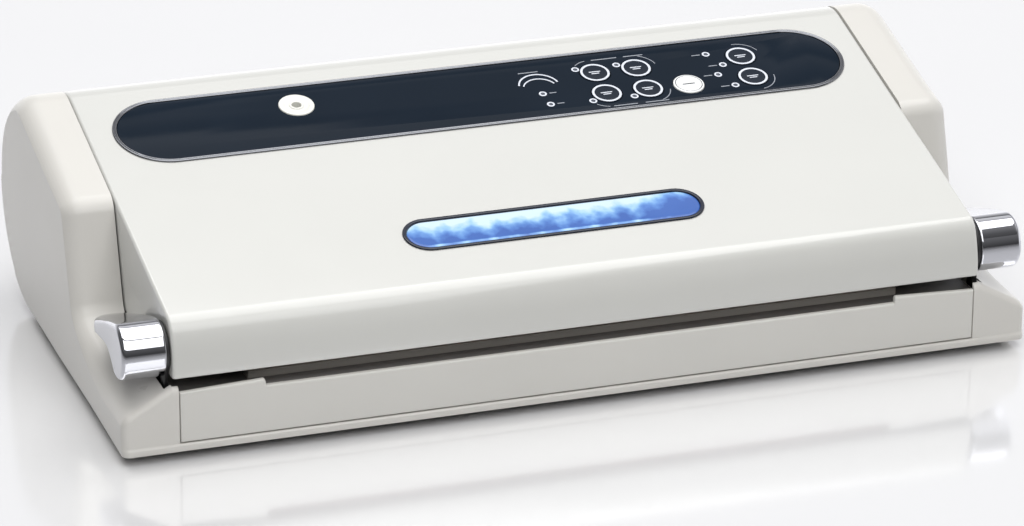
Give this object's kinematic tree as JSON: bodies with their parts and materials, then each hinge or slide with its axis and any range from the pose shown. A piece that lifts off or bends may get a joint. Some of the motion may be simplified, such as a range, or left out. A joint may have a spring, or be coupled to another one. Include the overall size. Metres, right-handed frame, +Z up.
{
  "type": "vacuum sealer",
  "caption": "Low wedge-shaped counter-top vacuum sealer: hinged lid with oval key panel and lit window, chrome locking levers at both ends, bag slot along the front.",
  "frame": {"origin": "middle of the footprint, on the surface the feet stand on", "axes": "+X to the right seen from the front, +Y to the back, +Z up; the bag goes in from -Y"},
  "size_m": [0.434, 0.2268, 0.1074],
  "materials": {
    "shell": "smooth cream moulding",
    "lid": "glossy cream-white moulding",
    "pan": "fine moulded grain",
    "fascia": "satin cream moulding",
    "liner": "satin moulding",
    "rubber": "soft matt rubber",
    "silicone": "silicone rubber strip",
    "steel": "plain machined steel",
    "bar": "heat-proof moulding",
    "nickel": "flat resistance wire",
    "tape": "coated glass cloth",
    "tray": "satin moulding",
    "black_plastic": "black moulding",
    "pump": "dark moulding",
    "hose": "translucent soft hose",
    "brass": "brass",
    "core": "laminated steel",
    "winding": "varnished winding",
    "board": "green circuit board",
    "relay": "blue relay case",
    "cap": "sleeved can",
    "alu": "extruded",
    "wire": "insulated wire",
    "rim": "bright rim",
    "overlay": "deep blue-black gloss",
    "port": "white moulding",
    "lamp": "light guide",
    "window": "clear blue tinted window",
    "window_frame": "dark gloss",
    "glow": "lit board",
    "chrome": "polished chrome",
    "key_dark": "dark gloss key",
    "key_white": "white gloss key"
  },
  "bodies": {
    "base": {"base_housing": "shell", "bottom_plate": "pan", "front_panel": "fascia", "rubber_feet": "rubber", "bottom_screws": "steel", "inner_deck": "liner", "seal_bar": "bar", "heating_wire": "nickel", "release_tape": "tape", "lower_gasket": "rubber", "drip_tray": "tray", "pump_motor": "steel", "pump_head": "pump", "pump_mounts": "rubber", "chamber_hose": "hose", "release_valve": "brass", "valve_hose": "hose", "transformer_core": "core", "transformer_coil": "winding", "power_board": "board", "power_relay": "relay", "power_capacitor": "cap", "heat_sink": "alu", "mains_inlet": "black_plastic", "inlet_pins": "brass", "mains_wires": "wire", "latch_switches": "black_plastic", "latch_catches": "steel", "hinge_pins": "steel"},
    "lid": {"lid_shell": "lid", "lid_liner": "liner", "lid_screws": "steel", "panel_rim": "rim", "control_overlay": "overlay", "port_disc": "port", "port_hose": "hose", "control_board": "board", "key_switches": "black_plastic", "indicator_lamps": "lamp", "gauge_lamps": "lamp", "window_rim": "window_frame", "window_lens": "window", "window_light": "glow", "upper_gasket": "rubber", "pressure_strip": "silicone", "lever_pins": "steel"},
    "left_lever": {"lever_left": "chrome", "hook_left": "black_plastic"},
    "right_lever": {"lever_right": "chrome", "hook_right": "black_plastic"},
    "key_upper_left": {"key_upper_left": "key_dark"},
    "key_upper_right": {"key_upper_right": "key_dark"},
    "key_lower_left": {"key_lower_left": "key_dark"},
    "key_lower_right": {"key_lower_right": "key_dark"},
    "key_seal": {"key_seal": "key_white"},
    "key_mode_upper": {"key_mode_upper": "key_dark"},
    "key_mode_lower": {"key_mode_lower": "key_dark"}
  },
  "joints": [
    {"name": "lid_hinge", "type": "hinge", "parent": "base", "child": "lid", "pos_m": [0, 0.0986, 0.0852], "axis": [-1, 0, 0], "range_deg": [0, 70]},
    {"name": "left_lever_turn", "type": "hinge", "parent": "lid", "child": "left_lever", "pos_m": [-0.205, -0.0969, 0.0488], "axis": [1, 0, 0], "range_deg": [0, 40]},
    {"name": "right_lever_turn", "type": "hinge", "parent": "lid", "child": "right_lever", "pos_m": [0.205, -0.0969, 0.0488], "axis": [1, 0, 0], "range_deg": [0, 40]},
    {"name": "key_upper_left_press", "type": "slide", "parent": "lid", "child": "key_upper_left", "axis": [0, 0.2421, -0.9703], "range_m": [0, 0.0006], "stiffness_N_per_m": 300, "springref_m": -0.001},
    {"name": "key_upper_right_press", "type": "slide", "parent": "lid", "child": "key_upper_right", "axis": [0, 0.2421, -0.9703], "range_m": [0, 0.0006], "stiffness_N_per_m": 300, "springref_m": -0.001},
    {"name": "key_lower_left_press", "type": "slide", "parent": "lid", "child": "key_lower_left", "axis": [0, 0.2421, -0.9703], "range_m": [0, 0.0006], "stiffness_N_per_m": 300, "springref_m": -0.001},
    {"name": "key_lower_right_press", "type": "slide", "parent": "lid", "child": "key_lower_right", "axis": [0, 0.2421, -0.9703], "range_m": [0, 0.0006], "stiffness_N_per_m": 300, "springref_m": -0.001},
    {"name": "key_seal_press", "type": "slide", "parent": "lid", "child": "key_seal", "axis": [0, 0.2421, -0.9703], "range_m": [0, 0.0006], "stiffness_N_per_m": 300, "springref_m": -0.001},
    {"name": "key_mode_upper_press", "type": "slide", "parent": "lid", "child": "key_mode_upper", "axis": [0, 0.2421, -0.9703], "range_m": [0, 0.0006], "stiffness_N_per_m": 300, "springref_m": -0.001},
    {"name": "key_mode_lower_press", "type": "slide", "parent": "lid", "child": "key_mode_lower", "axis": [0, 0.2421, -0.9703], "range_m": [0, 0.0006], "stiffness_N_per_m": 300, "springref_m": -0.001}
  ]
}
